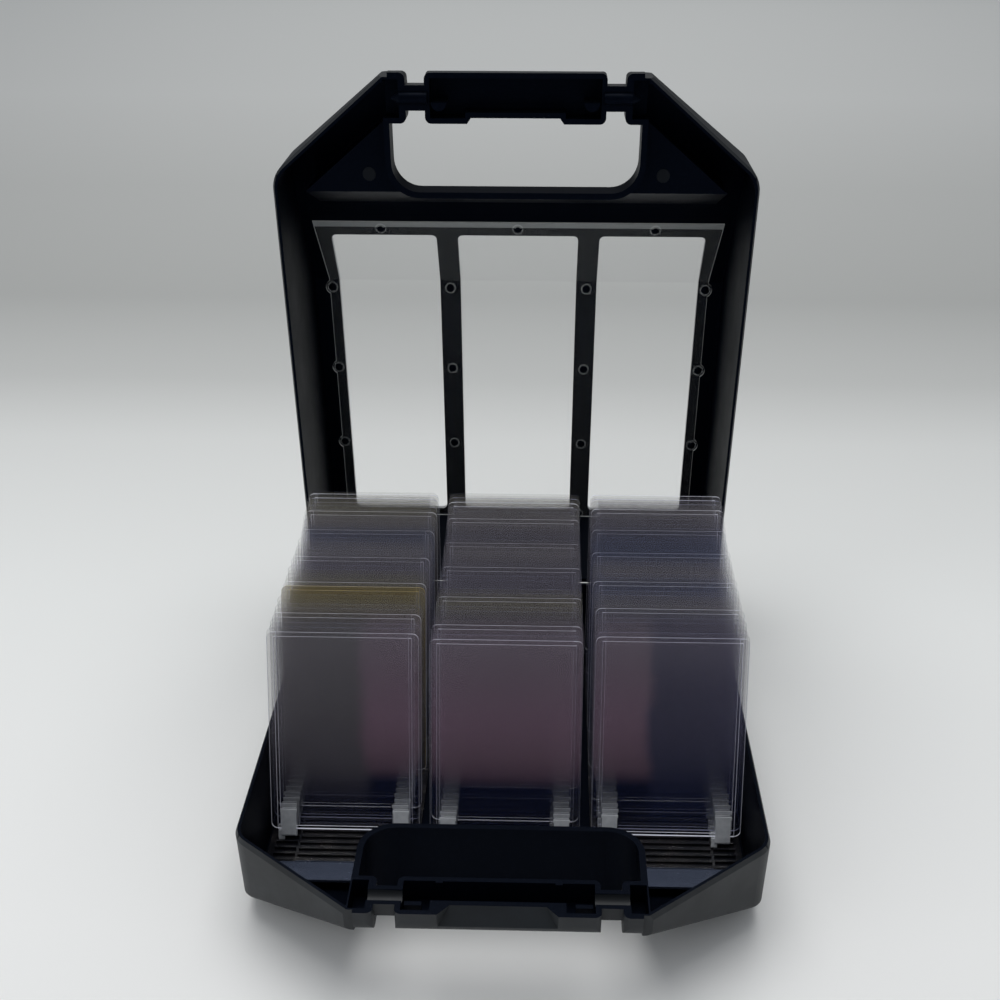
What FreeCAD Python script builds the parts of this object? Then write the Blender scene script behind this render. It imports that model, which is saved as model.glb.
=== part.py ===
import FreeCAD, Part
import math
import os

# A carry case for card sleeves: two moulded halves joined by a rear hinge, with three racks of sleeves.
# The hinge axis runs along X. "Reach" is the distance from that axis towards the handle (along -Y), and
# "depth" is the distance from the parting plane into a half: down in the base, up in the closed lid.

document = FreeCAD.newDocument("card_case")
sheet = document.addObject("Spreadsheet::Sheet", "dims")

SIZES = (
    ("case_width", 248.0, "outside width of both halves"),
    ("rear_reach", 0.3, "hinge axis to the outer face of the rear walls"),
    ("corner_reach", 235.0, "hinge axis to the corner where the front is cut off"),
    ("grip_reach", 283.0, "hinge axis to the outer edge of the handle"),
    ("grip_end_half", 62.5, "half width of the handle opening"),
    ("nose_half", 64.3, "half width of the taper where it reaches the handle's outer edge"),
    ("nose_trim", 2.0, "how far the tapering nose stops short of the handle's outer edge"),
    ("wall", 2.5, "side wall thickness"),
    ("corner_radius", 15.0, "plan radius of the front corners"),
    ("rear_radius", 5.0, "plan radius of the rear corners"),
    ("edge_radius", 3.5, "radius round the closed faces"),
    ("bevel_drop", 2.5, "length of the rim's bevel down the wall"),
    ("bevel_step", 1.1, "width of the rim's bevel"),
    ("base_depth", 50.0, "height of the lower half"),
    ("base_bend", 215.0, "reach where the underside starts to rise"),
    ("base_nose", 11.0, "depth of the lower half at the handle"),
    ("base_skin", 2.5, "floor thickness"),
    ("lid_depth", 86.0, "height of the upper half"),
    ("lid_bend", 159.0, "reach where the top face starts to fall"),
    ("lid_nose", 16.0, "depth of the upper half at the handle"),
    ("lid_skin", 3.0, "window panel thickness"),
    ("seam_gap", 0.15, "gap between the rims when closed"),
    ("hole_reach", 227.6, "reach of the finger hole's rear edge"),
    ("hole_radius", 14.0, "corner radius of the finger hole"),
    ("hole_wall", 3.0, "thickness of the wall round the finger hole"),
    ("grip_inner", 260.0, "reach of the finger side of the grip"),
    ("grip_half", 44.6, "half length of the grip"),
    ("grip_depth", 14.0, "depth of one half of the grip"),
    ("grip_outer_radius", 9.0, "radius of the grip's outer edge"),
    ("grip_inner_radius", 6.0, "radius of the grip's finger edge"),
    ("grip_corner", 3.0, "plan radius at the ends of the grip"),
    ("grip_wall", 2.5, "wall of the hollow grip"),
    ("grip_scoop_half", 27.0, "half length of the scoop in the lower grip"),
    ("grip_scoop", 6.0, "how far the scoop steps in at the rim"),
    ("grip_scoop_depth", 9.0, "depth where the scoop runs out"),
    ("grip_waist_half", 22.0, "half length of the waist in the upper grip"),
    ("grip_waist", 2.7, "how far the waist steps in"),
    ("end_half", 54.0, "half distance between the handle's end pieces"),
    ("neck_inner", 265.9, "reach of the neck's finger side"),
    ("neck_outer", 277.4, "reach of the neck's outer side"),
    ("neck_depth", 6.8, "depth of the necks"),
    ("rod_radius", 2.8, "radius of the locating rods"),
    ("rod_gap", 0.6, "clearance of the rods in their seats"),
    ("rod_end", 57.0, "half distance to the shoulders of the rod tips"),
    ("rod_tip", 4.0, "length of a rod tip"),
    ("chamber_near", 57.4, "near side of the chamber in an end piece"),
    ("chamber_far", 64.8, "far side of the chamber in an end piece"),
    ("tongue_near", 33.7, "near side of a snap tongue"),
    ("tongue_width", 7.6, "width of a snap tongue"),
    ("tongue_reach", 270.2, "reach of a snap tongue's flat side"),
    ("tongue_rise", 3.5, "how far a tongue stands out of the upper half"),
    ("catch_gap", 0.5, "clearance between tongue and catch"),
    ("catch_thick", 2.4, "thickness of a catch"),
    ("catch_depth", 4.5, "depth of the top of a catch"),
    ("catch_window", 6.2, "length of the window beside a catch"),
    ("tab_near", 24.8, "near side of the small tabs in the lower grip"),
    ("tab_width", 3.2, "width of a small tab"),
    ("tab_step", 1.0, "how far a tab stands into the lower grip"),
    ("plateau_inset", 19.6, "distance from the cut-off edge to the finger recess"),
    ("plateau_wall", 2.5, "wall of the finger recess in the upper half"),
    ("recess_fall", 0.36, "how far the rear wall of the finger recess leans back per millimetre"),
    ("window_near", 7.4, "reach of the windows' rear edge"),
    ("window_far", 188.7, "reach of the windows' front edge"),
    ("window_radius", 3.0, "corner radius of the windows"),
    ("middle_half", 34.4, "half width of the middle window"),
    ("side_near", 46.5, "near edge of a side window"),
    ("side_far", 106.8, "far edge of a side window"),
    ("pane_half", 112.5, "half width of the pane"),
    ("pane_flare", 115.8, "half width of the pane at its front edge"),
    ("pane_near", 3.0, "reach of the pane's rear edge"),
    ("pane_far", 197.6, "reach of the pane's front edge"),
    ("pane_thick", 1.0, "pane thickness"),
    ("pane_gap", 0.1, "clearance behind the pane"),
    ("ear_radius", 4.0, "radius of the pane's ears"),
    ("stake_inner", 40.5, "half distance between the inner stake rows"),
    ("stake_outer", 111.0, "half distance between the outer stake rows"),
    ("stake_first", 153.6, "reach of the stake row at the bend"),
    ("stake_step", 49.5, "distance between stake rows"),
    ("stake_top", 193.1, "reach of the top stake row"),
    ("stake_spread", 77.6, "distance between the top stakes"),
    ("stake_radius", 1.2, "stake radius"),
    ("head_radius", 2.2, "stake head radius"),
    ("head_rise", 1.1, "stake head height"),
    ("knuckle_radius", 3.1, "hinge knuckle radius"),
    ("knuckle_near", 60.0, "near end of a hinge"),
    ("knuckle_length", 8.0, "length of a base knuckle"),
    ("lid_knuckle", 13.2, "length of a lid knuckle"),
    ("knuckle_gap", 0.4, "end clearance between knuckles"),
    ("pin_radius", 1.2, "hinge pin radius"),
    ("pin_gap", 0.1, "running clearance of the pin in the lid knuckle"),
    ("pin_head", 0.6, "how far a pin stands out of its hinge"),
    ("stop_near", 100.0, "near side of a lid stop"),
    ("stop_width", 8.0, "width of a lid stop"),
    ("stop_reach", 7.0, "how far a stop stands behind the axis"),
    ("stop_gap", 0.1, "gap at the lid stop"),
    ("column_pitch", 82.0, "distance between sleeve columns"),
    ("rack_half", 38.1, "half width of a rack"),
    ("rack_near", 9.0, "reach of a rack's rear edge"),
    ("rack_plate", 1.5, "rack plate thickness"),
    ("rack_flat_end", 202.0, "reach where the ridged part of a rack ends"),
    ("apron_end", 222.8, "reach of the apron's front edge"),
    ("apron_tail", 229.5, "reach of the side racks' apron beside the finger hole"),
    ("apron_slope", 0.49, "rise of the apron per millimetre"),
    ("apron_gap", 0.4, "clearance between apron and finger-hole wall"),
    ("ridge_half", 22.5, "half length of the floor ridges"),
    ("ridge_rise", 1.2, "ridge height"),
    ("ridge_thick", 2.0, "ridge thickness"),
    ("fin_near", 24.0, "near end of the comb fins"),
    ("fin_far", 34.8, "far end of the comb fins"),
    ("fin_rise", 1.5, "fin height"),
    ("fin_thick", 1.2, "fin thickness"),
    ("slot_pitch", 4.5, "distance between slots"),
    ("slot_first", 15.5, "reach of the rearmost slot"),
    ("sleeve_width", 75.6, "width of a sleeve"),
    ("sleeve_height", 101.6, "height of a sleeve"),
    ("sleeve_thick", 1.8, "thickness of a sleeve"),
    ("front_half", 34.4, "half width of a sleeve's front sheet"),
    ("front_drop", 2.0, "how much lower the front sheet ends at the top"),
    ("pocket_half", 33.0, "half width of a sleeve's pocket"),
    ("pocket_thick", 0.8, "thickness of a sleeve's pocket"),
    ("pocket_floor", 1.6, "sleeve bottom to the pocket"),
    ("sleeve_radius", 3.0, "corner radius of a sleeve"),
    ("sleeve_rise", 5.2, "pivot to the bottom edge of a sleeve"),
    ("foot_spread", 28.7, "half distance between the feet of a sleeve"),
    ("foot_width", 7.5, "width of a foot"),
    ("foot_plate", 0.85, "thickness of a foot's plates"),
    ("foot_gap", 0.05, "clearance of a foot on its sleeve"),
    ("foot_top", 10.6, "height of a foot above the sleeve's bottom edge"),
    ("foot_drop", 3.9, "depth of a foot below the sleeve's bottom edge"),
    ("foot_lip", 0.4, "how much wider the lip of a foot is"),
    ("foot_lip_height", 1.4, "height of the lip of a foot"),
    ("barb_radius", 0.9, "radius of the pivot end of a foot"),
    ("barb_width", 2.9, "width of the pivot end of a foot"),
    ("barb_offset", 4.0, "foot centre to the pivot end's centre"),
    ("slot_gap", 0.3, "clearance under the pivot end of a foot"),
    ("lean_front", 23.0, "lean of the front sleeves in degrees"),
    ("lean_rear", 5.4, "lean of the rearmost sleeve in degrees"),
    ("lean_step", 1.25, "change of lean from one rear sleeve to the next, in degrees"),
    ("lean_jitter", 0.5, "unevenness of the lean in degrees"),
    ("side_jitter", 0.4, "sideways unevenness of the sleeves"),
)

for row, (alias, value, note) in enumerate(SIZES, start=1):
    sheet.set(f"A{row}", note)
    sheet.set(f"B{row}", str(value))
    sheet.setAlias(f"B{row}", alias)
document.recompute()


def size(alias):
    """The sheet's value as a plain number."""
    return float(sheet.get(alias))


# building blocks

def bind(item, **expressions):
    for prop, expression in expressions.items():
        item.setExpression(prop.replace("__", "."), expression)
    return item


def box(name, x, reach, z):
    """A box between two X values, two reaches and two Z values, all given as expressions."""
    item = document.addObject("Part::Box", name)
    return bind(item, Length=f"({x[1]}) - ({x[0]})", Width=f"({reach[1]}) - ({reach[0]})",
                Height=f"({z[1]}) - ({z[0]})", Placement__Base__x=x[0],
                Placement__Base__y=f"-({reach[1]})", Placement__Base__z=z[0])


def wedge(name, near, far):
    """A block between two sections, each given as (reach, (x, x), (z, z))."""
    item = document.addObject("Part::Wedge", name)
    return bind(item, Ymin=f"-({far[0]})", Xmin=far[1][0], Xmax=far[1][1], Zmin=far[2][0], Zmax=far[2][1],
                Ymax=f"-({near[0]})", X2min=near[1][0], X2max=near[1][1], Z2min=near[2][0],
                Z2max=near[2][1])


def rod(name, radius, x, reach, z):
    """A cylinder along X."""
    item = document.addObject("Part::Cylinder", name)
    item.Placement = FreeCAD.Placement(FreeCAD.Vector(), FreeCAD.Rotation(FreeCAD.Vector(0, 1, 0), 90))
    return bind(item, Radius=radius, Height=f"({x[1]}) - ({x[0]})", Placement__Base__x=x[0],
                Placement__Base__y=f"-({reach})", Placement__Base__z=z)


def post(name, radius, x, reach, z):
    """A cylinder along Z."""
    item = document.addObject("Part::Cylinder", name)
    return bind(item, Radius=radius, Height=f"({z[1]}) - ({z[0]})", Placement__Base__x=x,
                Placement__Base__y=f"-({reach})", Placement__Base__z=z[0])


def fuse(name, pieces):
    item = document.addObject("Part::MultiFuse", name)
    item.Shapes = pieces
    item.Refine = True
    return item


def cut(name, base, tools):
    item = document.addObject("Part::Cut", name)
    item.Base = base
    item.Tool = tools[0] if len(tools) == 1 else fuse(f"{name}_tools", tools)
    item.Refine = True
    return item


def common(name, first, second):
    item = document.addObject("Part::MultiCommon", name)
    item.Shapes = [first, second]
    item.Refine = True
    return item


def rounded(name, base, radius, chosen):
    """The base with a fillet on each edge whose middle and direction pass the test."""
    document.recompute()
    picks = []
    for index, edge in enumerate(base.Shape.Edges, start=1):
        if len(edge.Vertexes) < 2:
            continue
        start, end = edge.Vertexes[0].Point, edge.Vertexes[-1].Point
        if chosen((start + end) * 0.5, end - start):
            picks.append((index, radius, radius))
    if not picks:
        raise RuntimeError(f"{name}: no edge to round")
    item = document.addObject("Part::Fillet", name)
    item.Base = base
    item.Edges = picks
    return item


def bevelled(name, base, step, drop, chosen):
    """The base with a bevel on each chosen rim edge: step across the rim plane and drop down the wall."""
    document.recompute()
    picks = []
    for index, edge in enumerate(base.Shape.Edges, start=1):
        start, end = edge.Vertexes[0].Point, edge.Vertexes[-1].Point
        if chosen(start, end):
            first = base.Shape.ancestorsOfType(edge, Part.Face)[0]
            sizes = (step, drop) if near(first.BoundBox.ZLength, 0.0) else (drop, step)
            picks.append((index, *sizes))
    item = document.addObject("Part::Chamfer", name)
    item.Base = base
    item.Edges = picks
    return item


def near(value, target, tolerance=0.01):
    return abs(value - target) < tolerance


def upright(direction):
    return abs(direction.x) + abs(direction.y) < 0.01


def crosswise(direction):
    return abs(direction.y) + abs(direction.z) < 0.01


# lines shared by both halves

TAPER = "((dims.case_width / 2 - dims.nose_half) / (dims.grip_reach - dims.corner_reach))"
HOLE_HALF = "dims.grip_end_half"
TOWER_HALF = "(dims.grip_end_half + dims.hole_wall)"
TOWER_NEAR = "(dims.hole_reach - dims.hole_wall)"


def taper_half(reach, inset):
    """Half width of the cut-off front at a reach, moved in square to its face."""
    run = f"(({reach}) - dims.corner_reach) * {TAPER}"
    return f"(dims.case_width / 2 - {run} - ({inset}) * sqrt(1 + {TAPER}^2))"


def slope(side):
    rise = f"(dims.{side}_depth - dims.{side}_nose)"
    return f"({rise} / (dims.grip_reach - dims.{side}_bend))"


def depth_at(side, reach, skin):
    """Depth of the sloping face at a reach, moved in square to its face."""
    fall = f"(({reach}) - dims.{side}_bend) * {slope(side)}"
    return f"(dims.{side}_depth - {fall} - ({skin}) * sqrt(1 + {slope(side)}^2))"


def bend_at(side, skin):
    return f"(dims.{side}_bend - ({skin}) * (sqrt(1 + {slope(side)}^2) - 1) / {slope(side)})"


def level(side, low, high):
    """Z values of two depths."""
    return (low, high) if side == "lid" else (f"-({high})", f"-({low})")


def profile(side, name, wall, skin, rim):
    """The body of a half: a flat part, a sloping part and a tapering nose, moved in by wall and skin."""
    half = f"(dims.case_width / 2 - ({wall}))"
    corner = f"(dims.corner_reach - ({wall}) * (sqrt(1 + {TAPER}^2) - 1) / {TAPER})"
    end = f"(dims.grip_reach - dims.nose_trim - ({wall}))"
    bend = bend_at(side, skin)
    flat_z = level(side, rim, f"dims.{side}_depth - ({skin})")
    corner_z = level(side, rim, depth_at(side, corner, skin))
    end_z = level(side, rim, depth_at(side, end, skin))
    across = (f"-{half}", half)
    end_half = taper_half(end, wall)
    return fuse(name, [
        box(f"{name}_flat", across, (f"dims.rear_reach + ({wall})", bend), flat_z),
        wedge(f"{name}_slope", (bend, across, flat_z), (corner, across, corner_z)),
        wedge(f"{name}_nose", (corner, across, corner_z), (end, (f"-{end_half}", end_half), end_z)),
    ])


def corner_edges(side_half, corner_reach):
    def chosen(middle, direction):
        at_corner = near(abs(middle.x), side_half, 0.5) and near(-middle.y, corner_reach, 0.5)
        return upright(direction) and at_corner
    return chosen


def outer_body(side):
    """The outside of a half, with its plan corners and closed edges rounded."""
    sharp = profile(side, f"{side}_outer_sharp", "0", "0", "dims.seam_gap" if side == "lid" else "0")
    half = size("case_width") / 2
    corners = rounded(f"{side}_outer_corners", sharp, size("corner_radius"),
                      corner_edges(half, size("corner_reach")))
    rear = rounded(f"{side}_outer_rear", corners, size("rear_radius"), corner_edges(half, size("rear_reach")))
    tilt = 1.0 if side == "lid" else -1.0
    deep = tilt * size(f"{side}_depth")
    nose = size("grip_reach") - size("nose_trim")

    def closed_edge(middle, direction):
        on_rim = near(middle.z, 0.0, 1.0)
        at_nose = near(-middle.y, nose, 0.5)
        at_bend = crosswise(direction) and near(-middle.y, size(f"{side}_bend"), 0.5)
        inside = abs(middle.x) < half - 1.0 and near(middle.z, deep) and -middle.y > size("rear_radius") * 2
        return not (on_rim or at_nose or at_bend or upright(direction) or inside)
    soft = rounded(f"{side}_outer_soft", rear, size("edge_radius"), closed_edge)
    rim = size("seam_gap") if side == "lid" else 0.0

    def rim_edge(start, end):
        at_grip = near(-start.y, nose) and near(-end.y, nose)
        return near(start.z, rim) and near(end.z, rim) and not at_grip
    return bevelled(f"{side}_outer", soft, size("bevel_step"), size("bevel_drop"), rim_edge)


def cavity(side):
    """The inside of a half, open at the rim."""
    sharp = profile(side, f"{side}_cavity_sharp", "dims.wall", f"dims.{side}_skin", "-1")
    half = size("case_width") / 2 - size("wall")
    corners = rounded(f"{side}_cavity_corners", sharp, size("corner_radius") - size("wall"),
                      lambda middle, direction: upright(direction) and near(abs(middle.x), half, 0.5)
                      and -middle.y > size("grip_inner") - 40)
    return rounded(f"{side}_cavity", corners, size("rear_radius") - size("wall"),
                   lambda middle, direction: upright(direction) and near(abs(middle.x), half, 0.5)
                   and near(-middle.y, size("rear_reach") + size("wall"), 0.5))


def hole_block(side, name, half, reach, radius, z):
    """A block through the finger hole, with its two rear corners rounded."""
    block = box(f"{name}_sharp", (f"-{half}", half), reach, z)
    document.recompute()
    rear = max(vertex.Y for vertex in block.Shape.Vertexes)
    return rounded(name, block, radius, lambda middle, direction: upright(direction) and near(middle.y, rear))


def mirrored_x(low, high):
    return (low, high), (f"-({high})", f"-({low})")


# the split handle

def bar(side, name, x, ends, radius_outer, radius_inner):
    """A length of the handle bar with its two long edges and its free ends' plan corners rounded."""
    block = box(f"{name}_sharp", x, ("dims.grip_inner", "dims.grip_reach"),
                level(side, "dims.seam_gap" if side == "lid" else "0", "dims.grip_depth"))
    deep = size("grip_depth") * (1 if side == "lid" else -1)

    def long_edge(reach):
        return lambda middle, direction: (crosswise(direction) and near(middle.z, deep)
                                          and near(-middle.y, size(reach)))
    outer = rounded(f"{name}_outer", block, radius_outer, long_edge("grip_reach"))
    soft = rounded(f"{name}_soft", outer, radius_inner, long_edge("grip_inner"))
    plan = box(f"{name}_plan_sharp", x, ("dims.grip_inner", "dims.grip_reach"),
               ("-dims.grip_depth", "dims.grip_depth"))
    free = rounded(f"{name}_plan", plan, size("grip_corner"), lambda middle, direction: upright(direction)
                   and near(abs(middle.x), size(ends), 0.01))
    return common(name, soft, free)


def handle(side):
    """The grip, its two necks and the two end pieces, hollow towards the parting plane."""
    rim = "dims.seam_gap" if side == "lid" else "0"
    outer_radius, inner_radius = size("grip_outer_radius"), size("grip_inner_radius")
    grip = bar(side, f"{side}_grip", ("-dims.grip_half", "dims.grip_half"), "grip_half", outer_radius,
               inner_radius)
    solids = [grip]
    hollows = []
    trough = ("dims.grip_inner + dims.grip_wall", "dims.grip_reach - dims.grip_wall")
    floor = level(side, "-1", "dims.grip_depth - dims.grip_wall")
    inside = "(dims.grip_half - dims.grip_wall)"
    waist_edge = "(dims.grip_waist_half + dims.grip_waist)"
    if side == "lid":
        trough_near = "dims.grip_inner + dims.grip_wall + dims.grip_waist"
        hollows.append(box("lid_trough_waist", (f"-{inside}", inside), (trough_near, trough[1]), floor))
        for end, x in enumerate(mirrored_x(f"{waist_edge}", inside)):
            hollows.append(box(f"lid_trough_{end}", x, trough, floor))
        hollows.append(wedge("lid_waist", ("dims.grip_inner - 1", (f"-{waist_edge}", waist_edge),
                                           level(side, "-1", "dims.grip_depth + 1")),
                             ("dims.grip_inner + dims.grip_waist",
                              ("-dims.grip_waist_half", "dims.grip_waist_half"),
                              level(side, "-1", "dims.grip_depth + 1"))))
    else:
        trough_far = "dims.grip_reach - dims.grip_wall - dims.grip_scoop"
        hollows.append(box("base_trough_scoop", (f"-{inside}", inside), (trough[0], trough_far), floor))
        for end, x in enumerate(mirrored_x("(dims.grip_scoop_half + dims.grip_wall)", inside)):
            hollows.append(box(f"base_trough_{end}", x, trough, floor))
    for end, x in enumerate(mirrored_x("dims.end_half", HOLE_HALF)):
        solids.append(bar(side, f"{side}_end_{end}", x, "end_half", outer_radius, inner_radius))
    for end, x in enumerate(mirrored_x("dims.grip_half", "dims.end_half")):
        solids.append(box(f"{side}_neck_{end}", x, ("dims.neck_inner", "dims.neck_outer"),
                          level(side, rim, "dims.neck_depth")))
    return solids, hollows


def scoop():
    """The tool that steps the lower grip's outer face in at the rim, running out to nothing below."""
    far = "dims.grip_reach + 1"
    step = "(dims.grip_reach - dims.grip_scoop)"
    slant = "(dims.grip_scoop_half - dims.grip_scoop)"
    upper = wedge("base_scoop", (step, (f"-{slant}", slant), ("-0.1", "1")),
                  (far, ("-dims.grip_scoop_half", "dims.grip_scoop_half"), ("-dims.grip_scoop_depth", "1")))
    return upper


def chambers(side):
    """Hollows in the end pieces, which take the tips of the locating rods."""
    return [box(f"{side}_chamber_{end}", x, ("dims.grip_inner + dims.grip_wall",
                                              "dims.grip_reach - dims.grip_wall - 0.5"),
                level(side, "-1", "dims.grip_depth - dims.grip_wall - 1"))
            for end, x in enumerate(mirrored_x("dims.chamber_near", "dims.chamber_far"))]


ROD_REACH = "((dims.neck_inner + dims.neck_outer) / 2)"


def lid_rods():
    """Round rods in the lid's necks, half proud of the parting plane, with pointed tips."""
    rods = []
    for end, x in enumerate(mirrored_x("dims.grip_half - dims.grip_wall / 2", "dims.rod_end")):
        rods.append(rod(f"lid_rod_{end}", "dims.rod_radius", x, ROD_REACH, "0"))
    for end, sign in enumerate((1, -1)):
        tip = document.addObject("Part::Cone", f"lid_rod_tip_{end}")
        outward = FreeCAD.Rotation(FreeCAD.Vector(0, 1, 0), 90 * sign)
        tip.Placement = FreeCAD.Placement(FreeCAD.Vector(), outward)
        bind(tip, Radius1="dims.rod_radius", Radius2="dims.rod_radius / 6", Height="dims.rod_tip",
             Placement__Base__x=f"{sign} * dims.rod_end", Placement__Base__y=f"-{ROD_REACH}")
        rods.append(tip)
    return rods


def rod_seats():
    """Half-round seats in the base's necks."""
    spans = mirrored_x("dims.grip_half - dims.grip_wall - 1", "dims.chamber_near + 1")
    return [rod(f"base_seat_{end}", "dims.rod_radius + dims.rod_gap", x, ROD_REACH, "0")
            for end, x in enumerate(spans)]


TONGUE_FAR = "(dims.tongue_near + dims.tongue_width)"


def tongues():
    """Half-round snap tongues that stand out of the lid's grip, flat towards its outer edge."""
    pieces = []
    for end, x in enumerate(mirrored_x("dims.tongue_near", TONGUE_FAR)):
        z = ("-dims.tongue_rise", "dims.grip_depth - dims.grip_wall")
        round_side = post(f"lid_tongue_round_{end}", "dims.tongue_width / 2", f"(({x[0]}) + ({x[1]})) / 2",
                          "dims.tongue_reach", z)
        half = box(f"lid_tongue_half_{end}", x,
                   ("dims.tongue_reach - dims.tongue_width", "dims.tongue_reach"), z)
        pieces.append(common(f"lid_tongue_{end}", round_side, half))
    return pieces


def catches():
    """Ledges in the base's grip that stand beside the tongues, each next to a square window."""
    ledges, windows = [], []
    ledge = "(dims.tongue_reach + dims.catch_gap)"
    window = f"({ledge} + dims.catch_thick)"
    for end, x in enumerate(mirrored_x("dims.tongue_near", TONGUE_FAR)):
        ledges.append(box(f"base_catch_{end}", x, (ledge, window),
                          ("-(dims.grip_depth - dims.grip_wall / 2)", "-dims.catch_depth")))
        windows.append(box(f"base_catch_window_{end}", x, (window, f"{window} + dims.catch_window"),
                           ("-(dims.grip_depth + 1)", "-dims.catch_depth - dims.grip_wall")))
    return ledges, windows


def tabs():
    """Small tabs on the finger side of the base's grip, at the rim."""
    near_reach = "(dims.grip_inner + dims.grip_wall / 2)"
    return [box(f"base_tab_{end}", x, (near_reach, "dims.grip_inner + dims.grip_wall + dims.tab_step"),
                ("-dims.grip_wall", "0"))
            for end, x in enumerate(mirrored_x("dims.tab_near", "dims.tab_near + dims.tab_width"))]


# the hinge

LID_KNUCKLE_NEAR = "(dims.knuckle_near + dims.knuckle_length + dims.knuckle_gap)"
FAR_KNUCKLE = f"({LID_KNUCKLE_NEAR} + dims.lid_knuckle + dims.knuckle_gap)"
HINGE_FAR = f"({FAR_KNUCKLE} + dims.knuckle_length)"


def knuckles(side):
    """Knuckles round the hinge axis with the webs that carry them on the rear wall."""
    if side == "lid":
        stations = [(LID_KNUCKLE_NEAR, f"{LID_KNUCKLE_NEAR} + dims.lid_knuckle")]
        bore = "dims.pin_radius + dims.pin_gap"
    else:
        stations = [("dims.knuckle_near", "dims.knuckle_near + dims.knuckle_length"),
                    (FAR_KNUCKLE, HINGE_FAR)]
        bore = "dims.pin_radius"
    solids, bores = [], []
    for station, (low, high) in enumerate(stations):
        for end, x in enumerate(mirrored_x(low, high)):
            tag = f"{side}_{station}_{end}"
            solids.append(rod(f"knuckle_{tag}", "dims.knuckle_radius", x, "0", "0"))
            solids.append(box(f"web_{tag}", x, ("0", "dims.rear_reach + dims.wall / 2"),
                              level(side, "dims.seam_gap", "dims.knuckle_radius")))
            bores.append(rod(f"bore_{tag}", bore, (f"({x[0]}) - 1", f"({x[1]}) + 1"), "0", "0"))
    return solids, bores


def sill(side):
    """A square strip along the rear rim, which fills the bevel there and closes the view under the hinge."""
    half = "(dims.case_width / 2 - dims.rear_radius)"
    rim = "dims.seam_gap" if side == "lid" else "0"
    return box(f"{side}_sill", (f"-{half}", half), ("dims.rear_reach", "dims.rear_reach + dims.wall"),
               level(side, rim, "dims.bevel_drop + dims.wall"))


def notches(side):
    """Round notches in the rear wall of a half, which clear the other half's knuckles."""
    stations = [(LID_KNUCKLE_NEAR, f"{LID_KNUCKLE_NEAR} + dims.lid_knuckle")]
    end_gap = "dims.knuckle_gap"
    if side == "lid":
        stations = [("dims.knuckle_near", "dims.knuckle_near + dims.knuckle_length"),
                    (FAR_KNUCKLE, HINGE_FAR)]
        end_gap = "(dims.knuckle_gap + dims.pin_head)"
    tools = []
    for station, (low, high) in enumerate(stations):
        spans = mirrored_x(f"({low} - {end_gap})", f"({high} + {end_gap})")
        for end, x in enumerate(spans):
            tools.append(rod(f"notch_{side}_{station}_{end}", "dims.knuckle_radius + dims.knuckle_gap", x,
                             "0", "0"))
    return tools


def stops(side):
    """Lugs behind the rear walls that meet when the lid stands open at a right angle."""
    pieces = []
    for end, x in enumerate(mirrored_x("dims.stop_near", "dims.stop_near + dims.stop_width")):
        if side == "lid":
            pieces.append(box(f"lid_stop_{end}", x, ("dims.stop_gap", "dims.rear_reach + dims.wall / 2"),
                              ("dims.seam_gap", "dims.stop_reach")))
        else:
            pieces.append(box(f"base_stop_{end}", x, ("-dims.stop_reach", "dims.rear_reach + dims.wall / 2"),
                              ("-dims.stop_reach", "0")))
    return pieces


# the two shells

def build_base():
    outer = outer_body("base")
    tower = common("base_tower", outer, hole_block("base", "base_tower_block", TOWER_HALF,
                                                   (TOWER_NEAR, "dims.grip_reach"),
                                                   size("hole_radius") + size("hole_wall"),
                                                   ("-dims.base_depth", "0")))
    walls = fuse("base_walls", [cut("base_hollow", outer, [cavity("base")]), tower, sill("base")])
    hole = hole_block("base", "base_hole", HOLE_HALF, ("dims.hole_reach", "dims.grip_reach + 10"),
                      size("hole_radius"), ("-dims.base_depth - 1", "1"))
    solids, hollows = handle("base")
    knuckle_solids, bores = knuckles("base")
    opened = cut("base_open", walls, [hole] + notches("base"))
    body = fuse("base_body", [opened] + solids + knuckle_solids + stops("base"))
    carved = cut("base_carved", body, hollows + [scoop()] + chambers("base") + rod_seats() + bores)
    ledges, windows = catches()
    return cut("base_shell", fuse("base_with_catches", [carved] + ledges + tabs()), windows)


def plateau(name, wall, top):
    """The block of the finger recess: a tapering block round the finger hole, its rear wall leaning back."""
    inset = f"(dims.plateau_inset - ({wall}))"
    near_reach = f"(dims.hole_reach - ({wall}))"
    far_reach = "(dims.grip_reach + 1)"
    z = (top, "dims.lid_depth + 1")
    near_half = taper_half(near_reach, inset)
    middle = "dims.grip_inner"
    middle_half = taper_half(middle, inset)
    across = (f"-{near_half}", near_half)
    low_reach = f"({near_reach} - (dims.lid_depth + 1 - ({top})) * dims.recess_fall)"
    return fuse(name, [
        wedge(f"{name}_ramp", (low_reach, across, ("dims.lid_depth + 0.5", "dims.lid_depth + 1")),
              (near_reach, across, z)),
        wedge(f"{name}_taper", (near_reach, across, z),
              (middle, (f"-{middle_half}", middle_half), z)),
        box(f"{name}_middle", (f"-({HOLE_HALF} + ({wall}))", f"{HOLE_HALF} + ({wall})"),
            (near_reach, far_reach), z),
    ])


def windows():
    """Three openings through the lid's panel."""
    spans = (("-dims.middle_half", "dims.middle_half"), ("dims.side_near", "dims.side_far"),
             ("-dims.side_far", "-dims.side_near"))
    tools = []
    for index, x in enumerate(spans):
        block = box(f"window_sharp_{index}", x, ("dims.window_near", "dims.window_far"),
                    ("dims.lid_nose", "dims.lid_depth + 1"))
        tools.append(rounded(f"window_{index}", block, size("window_radius"),
                             lambda middle, direction: upright(direction)))
    return tools


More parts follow.
